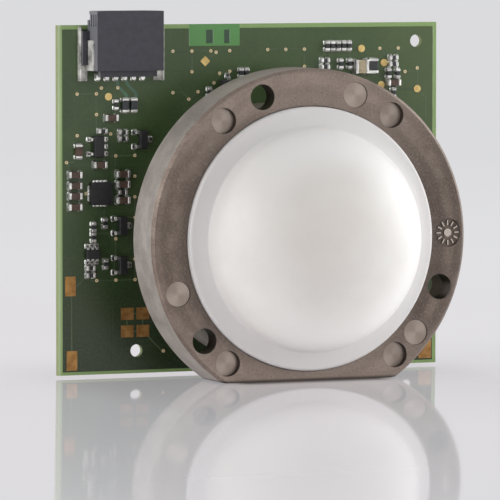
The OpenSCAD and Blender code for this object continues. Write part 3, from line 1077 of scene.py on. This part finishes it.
@dataclass
class Board:
    """The circuit board with its copper tracks, lands and vias; sizes in millimetres."""

    box: Extent = BOARD
    track_w: float = 0.2
    link_w: float = 0.42
    track_t: float = 0.012
    sides: int = 8
    shortest: float = 1.2
    bare_share: float = 0.25
    seed: int = 11
    parts: tuple[str, ...] = (
        "capacitor_ends", "filter_ends", "resistor_ends", "controller_leads", "regulator_leads",
        "transistor_leads", "buffer_leads", "large_capacitor_ends", "inductor_ends",
        "processor_leads", "via_rings", "test_points", "gold_pads",
    )
    links: tuple[tuple[Place, ...], ...] = (
        ((8.5, 7.4), (8.5, 8.1), (9.8, 9.4), (9.8, 10.2)),
        ((9.8, 7.4), (9.8, 7.8), (11.1, 9.1), (11.1, 10.2)),
    )

    def ends(self, rear: bool, dice: random.Random) -> list[Place]:
        """Lands and vias of one face that a track may end at.

        Args:
            rear: True for the rear face.
            dice: Source of the lands that stay without a track.

        Returns:
            Their places.
        """
        middle = (self.box.front + self.box.back) / 2
        found = []
        for name in self.parts:
            for shell in islands(name):
                if name != "via_rings" and dice.random() < self.bare_share:
                    continue
                if (shell.centre.y > middle) == rear:
                    found.append((shell.centre.x, shell.centre.z))
        return found

    def routes(self, rear: bool) -> list[list[Place]]:
        """Tracks between neighbouring lands and vias, bending at 45 degrees.

        Args:
            rear: True for the rear face.

        Returns:
            One list of places for each track.
        """
        dice = random.Random(self.seed)
        ends = self.ends(rear, dice)
        routes: list[list[Place]] = []
        joined: set[frozenset[Place]] = set()
        for x, z in ends:
            steps = sorted((abs(x - a) + abs(z - b), a - x, b - z, (a, b)) for a, b in ends)
            near = [step for step in steps if step[0] > self.shortest][:2]
            if len(near) == 2 and near[0][1] * near[1][1] + near[0][2] * near[1][2] > 0:
                near.pop()
            for *_, end in near:
                if frozenset(((x, z), end)) not in joined:
                    joined.add(frozenset(((x, z), end)))
                    routes.append(self._bend((x, z), end, dice.random() < 0.5))
        return routes

    def _bend(self, start: Place, end: Place, slant_first: bool) -> list[Place]:
        """Join two places by a straight run and a 45 degree run.

        Args:
            start: First place.
            end: Last place.
            slant_first: True where the 45 degree run comes first.

        Returns:
            The two places with the bend between them.
        """
        across, up = end[0] - start[0], end[1] - start[1]
        run = min(abs(across), abs(up))
        step = (math.copysign(run, across), math.copysign(run, up))
        if slant_first:
            return [start, (start[0] + step[0], start[1] + step[1]), end]
        return [start, (end[0] - step[0], end[1] - step[1]), end]

    def tracks(
        self, name: str, routes: Sequence[Sequence[Place]], rear: bool, width: float,
        finish: Finish,
    ) -> bpy.types.Object:
        """Lay flat tracks along routes with a Geometry Nodes tree.

        Args:
            name: Name of the piece.
            routes: Places of each track.
            rear: True for the rear face.
            width: Width of a track in millimetres.
            finish: Finish of the tracks.

        Returns:
            The tracks as one piece.
        """
        mesh = bpy.data.meshes.new(name)
        spots, edges = [], []
        for route in routes:
            edges += [(len(spots) + i, len(spots) + i + 1) for i in range(len(route) - 1)]
            spots += [(x * MM, 0.0, z * MM) for x, z in route]
        mesh.from_pydata(spots, edges, [])
        tree = GeometryTree(name + "_tree", {
            "Radius": width / 2 * MM, "Flatness": 2 * self.track_t / width,
            "Depth": (self.box.back if rear else self.box.front) * MM,
        })
        curve = tree.add("GeometryNodeMeshToCurve", inputs={0: tree.start["Geometry"]})
        outline = tree.add("GeometryNodeCurvePrimitiveCircle", inputs={
            "Resolution": self.sides, "Radius": tree.start["Radius"],
        })
        strip = tree.add("GeometryNodeCurveToMesh", inputs={
            0: curve.outputs[0], 1: outline.outputs[0], "Fill Caps": True,
        })
        scale = tree.add("ShaderNodeCombineXYZ", inputs={0: 1.0, 1: tree.start["Flatness"], 2: 1.0})
        lift = tree.add("ShaderNodeCombineXYZ", inputs={1: tree.start["Depth"]})
        laid = tree.add("GeometryNodeTransform", inputs={
            "Geometry": strip.outputs[0], "Translation": lift.outputs[0], "Scale": scale.outputs[0],
        })
        made = tree.apply(object_of(name, mesh), laid.outputs[0], finish)
        soften(made.data, SOFT_ANGLE)
        return finish_piece(made, finish)

    def build(self) -> None:
        """Dress the board and lay its copper."""
        for node, finish in (
            ("circuit_board", Finishes.BOARD), ("gold_pads", Finishes.GOLD),
            ("test_points", Finishes.LAND), ("via_rings", Finishes.VIA),
        ):
            dress(node, finish.value)
        track, link = Finishes.TRACK.value, Finishes.LINK.value
        links = [[(self.box.left + x, self.box.top - z) for x, z in run] for run in self.links]
        self.tracks("front_tracks", self.routes(False), False, self.track_w, track)
        self.tracks("rear_tracks", self.routes(True), True, self.track_w, track)
        self.tracks("connector_tracks", links, False, self.link_w, link)


def dress(node: str, finish: Finish) -> None:
    """Give a CAD node's own object a finish.

    Args:
        node: Name of the node.
        finish: Its finish.
    """
    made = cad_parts[node]
    for slot in made.material_slots:
        slot.material = finish.material()
    if not made.material_slots:
        made.data.materials.append(finish.material())
    LOG.info("%s dressed", node)


@dataclass
class Solder:
    """Solder fillets round every soldered end and lead; sizes in millimetres."""

    front: float = BOARD.front
    back: float = BOARD.back
    spread: float = 0.17
    corners: int = 20
    section: tuple[Place, ...] = ((1.0, 0.0), (0.97, 0.12), (0.86, 0.3), (0.76, 0.62), (0.7, 1.0))
    squareness: float = 5.0
    thin_lead: float = 0.3
    foot_spare: float = 0.05
    foot_h: float = 0.2
    tail: Point = (0.55, 0.24, 0.9)
    end_share: float = 0.55
    low: dict[str, float] = field(default_factory=lambda: {
        "controller_leads": 0.1, "radar_chip_leads": 0.1, "crystal_base": 0.15,
    })
    nodes: tuple[str, ...] = (
        "capacitor_ends", "filter_ends", "resistor_ends", "regulator_leads", "transistor_leads",
        "buffer_leads", "large_capacitor_ends", "inductor_ends", "controller_leads",
        "radar_chip_leads", "processor_leads", "connector_contacts", "crystal_base",
    )
    bodies: dict[str, str] = field(default_factory=lambda: {
        "regulator_leads": "regulator_body", "transistor_leads": "transistor_bodies",
        "buffer_leads": "buffer_body", "processor_leads": "processor_body",
    })

    def fillet(self) -> bpy.types.Object:
        """Make a concave mound of unit size, standing on its base towards -Y.

        Returns:
            The mound.
        """
        work = bmesh.new()
        rings = []
        for share, height in self.section:
            ring = []
            for i in range(self.corners):
                angle = 2 * math.pi * i / self.corners
                across, up = math.cos(angle), math.sin(angle)
                square = abs(across) ** self.squareness + abs(up) ** self.squareness
                half = share * square ** (-1 / self.squareness) / 2
                ring.append(work.verts.new((across * half, -height, up * half)))
            rings.append(ring)
        for lower, upper in zip(rings, rings[1:]):
            for i in range(self.corners):
                j = (i + 1) % self.corners
                work.faces.new((lower[i], lower[j], upper[j], upper[i]))
        work.faces.new(rings[-1])
        work.faces.new(tuple(reversed(rings[0])))
        bmesh.ops.recalc_face_normals(work, faces=work.faces)
        mesh = bpy.data.meshes.new("fillet")
        work.to_mesh(mesh)
        work.free()
        mesh.shade_smooth()
        return object_of("fillet", mesh)

    def build(self) -> None:
        """Set one fillet on every soldered shell through a Geometry Nodes tree."""
        beads = [self._bead(node, shell) for node in self.nodes for shell in islands(node)]
        mesh = bpy.data.meshes.new("solder")
        mesh.from_pydata([Vector(place) * MM for place, _, _ in beads], [], [])
        for number, name in ((1, "span"), (2, "turn")):
            layer = mesh.attributes.new(name, "FLOAT_VECTOR", "POINT")
            layer.data.foreach_set("vector", [part for bead in beads for part in bead[number]])
        shape = self.fillet()
        tree = GeometryTree("solder_tree", {"Unit": MM})
        source = tree.add("GeometryNodeObjectInfo", inputs={"Object": shape, "As Instance": True})
        kind = {"data_type": "FLOAT_VECTOR"}
        span, turn = (
            tree.add("GeometryNodeInputNamedAttribute", kind, {"Name": name})
            for name in ("span", "turn")
        )
        scaled = tree.add("ShaderNodeVectorMath", {"operation": "SCALE"}, {
            0: span.outputs[0], "Scale": tree.start["Unit"],
        })
        turned = tree.add("FunctionNodeEulerToRotation", inputs={0: turn.outputs[0]})
        placed = tree.add("GeometryNodeInstanceOnPoints", inputs={
            "Points": tree.start["Geometry"], "Instance": source.outputs["Geometry"],
            "Rotation": turned.outputs[0], "Scale": scaled.outputs[0],
        })
        made = tree.apply(object_of("solder", mesh), placed.outputs[0], Finishes.SOLDER.value)
        bpy.data.objects.remove(shape)
        soften(made.data, SOFT_ANGLE)
        finish_piece(made, Finishes.SOLDER.value)

    def _bead(self, node: str, shell: Island) -> tuple[Point, Point, Point]:
        """Work out where one shell's fillet goes.

        Args:
            node: Name of the CAD node.
            shell: One of its shells.

        Returns:
            Place, size and turn in that order.
        """
        centre, size = shell.centre, shell.size
        rear = centre.y > (self.front + self.back) / 2
        if node.endswith("leads") and size.y > self.thin_lead:
            foot = min(size.x, size.z) + self.foot_spare
            offset = (max(size.x, size.z) - foot) / 2 * self._outward(node, shell)
            centre = centre + Vector((offset, 0, 0) if size.x > size.z else (0, 0, offset))
            size = Vector((foot, self.foot_h, foot))
        elif node == "connector_contacts":
            size = Vector(self.tail)
            centre = Vector((centre.x, 0, shell.low.z + size.z / 2))
        else:
            size = Vector((size.x, self.low.get(node, size.y * self.end_share), size.z))
        return (
            (centre.x, self.back if rear else self.front, centre.z),
            (size.x + 2 * self.spread, size.y, size.z + 2 * self.spread),
            (0.0, 0.0, math.pi if rear else 0.0),
        )

    def _outward(self, node: str, shell: Island) -> float:
        """Find the direction from a package's middle to one of its leads.

        Args:
            node: Name of the CAD node.
            shell: One of its shells.

        Returns:
            -1 or 1 on the lead's long axis.
        """
        packages = islands(self.bodies[node])
        nearest = min(packages, key=lambda part: (part.centre - shell.centre).length)
        away = shell.centre - nearest.centre
        return math.copysign(1.0, away.x if shell.size.x > shell.size.z else away.z)


@dataclass
class SmallParts:
    """Chip parts, packages, leads, connector, clips and screws, with their edges rounded."""

    rounding: dict[str, tuple[float, Finishes]] = field(default_factory=lambda: {
        "capacitor_bodies": (0.05, Finishes.BROWN), "capacitor_ends": (0.14, Finishes.TIN),
        "filter_bodies": (0.05, Finishes.GREY), "filter_ends": (0.12, Finishes.TIN),
        "resistor_bodies": (0.04, Finishes.DARK), "resistor_ends": (0.11, Finishes.TIN),
        "large_capacitor_body": (0.06, Finishes.CREAM),
        "large_capacitor_ends": (0.08, Finishes.TIN),
        "inductor_body": (0.06, Finishes.DARK), "inductor_ends": (0.08, Finishes.TIN),
        "controller_body": (0.05, Finishes.PACKAGE), "controller_leads": (0.02, Finishes.TIN),
        "regulator_body": (0.05, Finishes.PACKAGE), "regulator_leads": (0.03, Finishes.TIN),
        "transistor_bodies": (0.05, Finishes.PACKAGE), "transistor_leads": (0.03, Finishes.TIN),
        "buffer_body": (0.05, Finishes.PACKAGE), "buffer_leads": (0.03, Finishes.TIN),
        "radar_chip_body": (0.05, Finishes.PACKAGE), "radar_chip_leads": (0.02, Finishes.TIN),
        "processor_body": (0.08, Finishes.PACKAGE), "processor_leads": (0.03, Finishes.TIN),
        "crystal_can": (0.12, Finishes.CLIP), "crystal_base": (0.05, Finishes.CREAM),
        "connector_housing": (0.12, Finishes.PLASTIC), "connector_contacts": (0.05, Finishes.TIN),
        "connector_clips": (0.05, Finishes.CLIP), "ring_screws": (0.15, Finishes.STEEL),
        "absorber_pad": (0.2, Finishes.FOAM),
    })

    def build(self) -> None:
        """Round and dress each node's copy."""
        for node, (width, finish) in self.rounding.items():
            finish_piece(CadCopy(node).rounded(width), finish.value, node)


@dataclass
class AntennaRing:
    """The cast ring that holds the lens; sizes in millimetres."""

    axis_z: float = LENS.axis_z
    mark_circle: float = (RING.radius + LENS.radius) / 2
    mark_r: float = 1.7
    flush_marks: tuple[int, ...] = (71, 200, 320)
    sunk_marks: tuple[int, ...] = (128, 54, 234, 308)
    wheel_angle: float = 1.0
    wheel_r: float = 1.9
    edge: float = 0.11
    sharp: float = 30.0

    def place(self, angle: float, radius: float) -> Point:
        """Place a mark on the circle of marks.

        Args:
            angle: Degrees from the right, anticlockwise.
            radius: The mark's radius.

        Returns:
            Centre and radius of the mark.
        """
        turn = math.radians(angle)
        across, up = self.mark_circle * math.cos(turn), self.mark_circle * math.sin(turn)
        return (across, self.axis_z + up, radius)

    def marks(self) -> tuple[Point, ...]:
        """Centre and radius of every pin face on the front wall."""
        return tuple(self.place(angle, self.mark_r) for angle in self.flush_marks + self.sunk_marks)

    def build(self) -> None:
        """Round the casting's edges and dress it."""
        finish = CastMetal("ring_casting", self.marks(), self.place(self.wheel_angle, self.wheel_r))
        made = CadCopy("antenna_ring").rounded(self.edge, angle=self.sharp)
        finish_piece(made, finish, "antenna_ring")


@dataclass
class Lens:
    """The turned lens: spigot, rounded rim and a dome that runs into the rim; sizes in mm."""

    axis_z: float = LENS.axis_z
    seat_y: float = RING.front + 2.0
    back_y: float = LENS.back
    rim_y: float = RING.front - 0.8
    foot_y: float = RING.front - 1.3
    rim_r: float = LENS.radius
    dome_r: float = 14.8
    dome_h: float = RING.front - 1.3 - LENS.front
    spigot_r: float = LENS.radius - 2.1
    edge_r: float = 0.5
    blend: float = 0.3
    blend_rise: float = 0.25
    blend_angle: float = 7.0
    blend_steps: int = 8
    turns: int = 160
    sharp: float = 50.0

    def dome(self, degrees: float) -> Place:
        """Point of the dome at an angle up from its foot."""
        angle = math.radians(degrees)
        return self.dome_r * math.cos(angle), self.foot_y - self.dome_h * math.sin(angle)

    def profile(self) -> list[Place]:
        """Draw the half section that is revolved.

        Returns:
            Points as (radius, place along the axis), from the back to the apex.
        """
        line = [(0.0, self.back_y), (self.spigot_r, self.back_y), (self.spigot_r, self.seat_y)]
        line += [(self.rim_r, self.seat_y), (self.rim_r, self.rim_y + self.edge_r)]
        for degrees in range(15, 91, 15):
            angle = math.radians(degrees)
            line.append((
                self.rim_r - self.edge_r * (1 - math.cos(angle)),
                self.rim_y + self.edge_r * (1 - math.sin(angle)),
            ))
        rise = (self.rim_y - self.foot_y) * self.blend_rise
        start = Vector((self.dome_r + self.blend, self.foot_y + rise))
        corner = Vector((self.dome_r, self.foot_y))
        end = Vector(self.dome(self.blend_angle))
        for i in range(self.blend_steps + 1):
            t = i / self.blend_steps
            line.append(tuple(start * (1 - t) ** 2 + corner * 2 * t * (1 - t) + end * t * t))
        line += [self.dome(degrees) for degrees in range(9, 90, 3)]
        line.append((0.0, self.foot_y - self.dome_h))
        return line

    def build(self) -> None:
        """Revolve the half section and dress the lens."""
        work = bmesh.new()
        rings = []
        for radius, along in self.profile():
            count = self.turns if radius > 0 else 1
            ring = []
            for i in range(count):
                turn = 2 * math.pi * i / count
                up = self.axis_z + radius * math.sin(turn)
                ring.append(work.verts.new((radius * MM * math.cos(turn), along * MM, up * MM)))
            rings.append(ring)
        for lower, upper in zip(rings, rings[1:]):
            for i in range(self.turns):
                ends = ((lower, i), (lower, i + 1), (upper, i + 1), (upper, i))
                work.faces.new(tuple(dict.fromkeys(ring[k % len(ring)] for ring, k in ends)))
        bmesh.ops.recalc_face_normals(work, faces=work.faces)
        mesh = bpy.data.meshes.new("lens_finished")
        work.to_mesh(mesh)
        work.free()
        soften(mesh, self.sharp)
        finish_piece(object_of("lens_finished", mesh), Finishes.LENS.value, "lens")


# ---- Studio ----


@dataclass(frozen=True)
class Softbox:
    """One soft lamp: where it stands, its side and its power."""

    name: str
    place: Point
    side: float
    power: float
    aim: Point = (0.0, 0.0, 0.02)

    def build(self) -> None:
        """Add the lamp to the scene, unseen by the camera."""
        data = bpy.data.lights.new(self.name, "AREA")
        data.shape = "SQUARE"
        data.size = self.side
        data.energy = self.power
        lamp = bpy.data.objects.new(self.name, data)
        lamp.location = self.place
        lamp.visible_camera = False
        direction = Vector(self.aim) - Vector(self.place)
        lamp.rotation_euler = direction.to_track_quat("-Z", "Y").to_euler()
        bpy.context.scene.collection.objects.link(lamp)


@dataclass
class Studio:
    """Pale sweep, soft lamps and the camera; places in metres."""

    boxes: tuple[Softbox, ...] = (
        Softbox("right_box", (0.48, -0.16, 0.12), 0.36, 1.85),
        Softbox("left_box", (-0.48, -0.12, 0.14), 0.40, 1.15),
        Softbox("right_rear_box", (0.45, 0.04, 0.14), 0.30, 0.50),
        Softbox("left_rear_box", (-0.45, 0.08, 0.16), 0.30, 0.32),
        Softbox("top_box", (0.0, 0.30, 0.40), 0.34, 0.05),
        Softbox("low_box", (0.12, -0.55, 0.05), 0.20, 0.24),
    )
    eye: Point = (-0.27477, -0.64238, 0.06273)
    yaw: float = 22.61
    down: float = 3.74
    roll: float = 0.01
    focal: float = 380.7
    sensor: float = 36.0
    near: float = 0.01
    far: float = 20.0
    ambient: float = 0.33
    dim: float = 0.26
    pale: float = 0.72

    def camera(self) -> None:
        """Place the camera."""
        data = bpy.data.cameras.new("camera")
        data.lens = self.focal
        data.sensor_width = self.sensor
        data.sensor_fit = "HORIZONTAL"
        data.clip_start = self.near
        data.clip_end = self.far
        camera = bpy.data.objects.new("camera", data)
        stand = Matrix.Translation(self.eye)
        for angle, axis in ((-self.yaw, "Z"), (90 - self.down, "X"), (self.roll, "Z")):
            stand = stand @ Matrix.Rotation(math.radians(angle), 4, axis)
        camera.matrix_world = stand
        bpy.context.scene.collection.objects.link(camera)
        bpy.context.scene.camera = camera

    def sweep(self) -> None:
        """Build the table and backdrop as one smooth sheet."""
        half, front, bend, radius, rise = 2.5, -2.0, 0.7, 0.6, 1.8
        line = [(front, 0.0), (bend, 0.0)]
        for angle in map(math.radians, range(6, 91, 6)):
            line.append((bend + radius * math.sin(angle), radius * (1 - math.cos(angle))))
        line.append((bend + radius, rise))
        spots = [(side * half, y, z) for y, z in line for side in (-1, 1)]
        faces = [(2 * i, 2 * i + 1, 2 * i + 3, 2 * i + 2) for i in range(len(line) - 1)]
        mesh = bpy.data.meshes.new("sweep")
        mesh.from_pydata(spots, [], faces)
        mesh.shade_smooth()
        made = object_of("sweep", mesh)
        made.data.materials.append(Finishes.SWEEP.value.material())

    def world(self) -> None:
        """Light everything evenly from the surroundings, pale where they are seen."""
        world = bpy.data.worlds.new("surroundings")
        bpy.context.scene.world = world
        world.use_nodes = True
        g = Nodes(world.node_tree)
        toward_rear = g.parts(g.add("ShaderNodeTexCoord").outputs["Generated"])[1]
        level = toward_rear.step(-0.95, 0.1) * (self.ambient - self.dim) + self.dim
        seen = g.seen()
        background = g.add("ShaderNodeBackground", inputs={
            "Color": (1, 1, 1, 1), "Strength": level * (1 - seen) + seen * self.pale,
        })
        g.add("ShaderNodeOutputWorld", inputs={"Surface": background.outputs[0]})

    def build(self) -> None:
        """Set up the camera, the sweep, the lamps and the surroundings."""
        self.camera()
        self.sweep()
        self.world()
        for box in self.boxes:
            box.build()
        bpy.context.scene.view_settings.view_transform = "Standard"


def main() -> None:
    """Build every sub-assembly in order."""
    logging.basicConfig(level=logging.INFO, format="%(name)s: %(message)s")
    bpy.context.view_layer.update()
    for part in (Studio(), Board(), AntennaRing(), Lens(), SmallParts(), Solder()):
        LOG.info("building %s", type(part).__name__)
        part.build()


if __name__ == "__main__":
    main()
